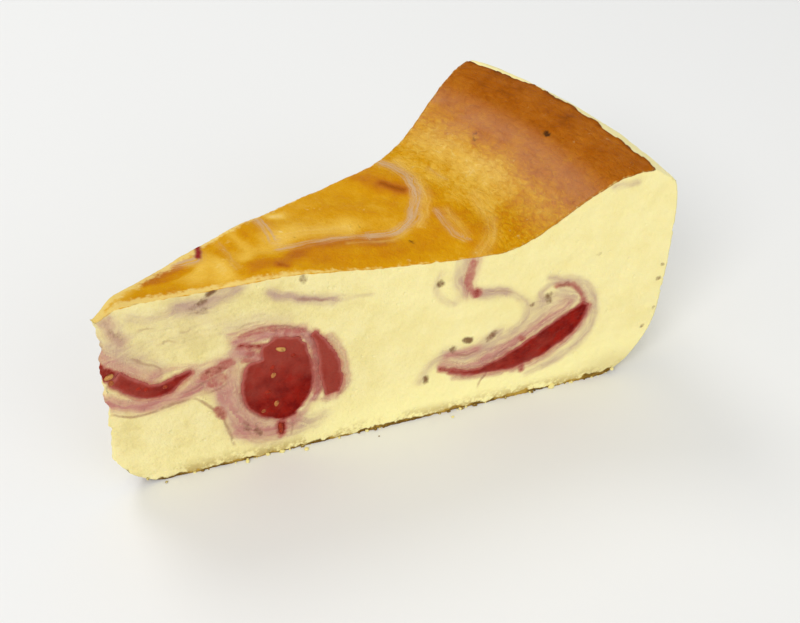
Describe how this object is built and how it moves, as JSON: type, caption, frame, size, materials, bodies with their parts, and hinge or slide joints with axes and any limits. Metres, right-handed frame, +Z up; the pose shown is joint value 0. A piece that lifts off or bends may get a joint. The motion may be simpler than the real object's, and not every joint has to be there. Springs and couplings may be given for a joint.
{
  "type": "cheesecake slice",
  "caption": "Wedge-shaped slice of baked cheesecake with a browned top rising to a high rim, and raspberry filling swirled through both cut faces.",
  "frame": {"origin": "on the table, under the middle of the slice's bounding box", "axes": "+X along the middle of the slice from its tip to its rim, +Z up, the cut with the large raspberry pocket facing -Y"},
  "size_m": [0.1292, 0.0688, 0.0579],
  "materials": {
    "baked_custard": "moist pale yellow baked custard, matte and finely grained on the cuts, golden to brown and softly glossy on the baked top",
    "raspberry_filling": "wet dark red cooked raspberry with small tan seeds"
  },
  "bodies": {
    "root": {"cheesecake": "baked_custard", "raspberry_tip_streak": "raspberry_filling", "raspberry_pocket": "raspberry_filling", "raspberry_crescent": "raspberry_filling", "raspberry_rim_ribbon": "raspberry_filling"}
  },
  "joints": []
}
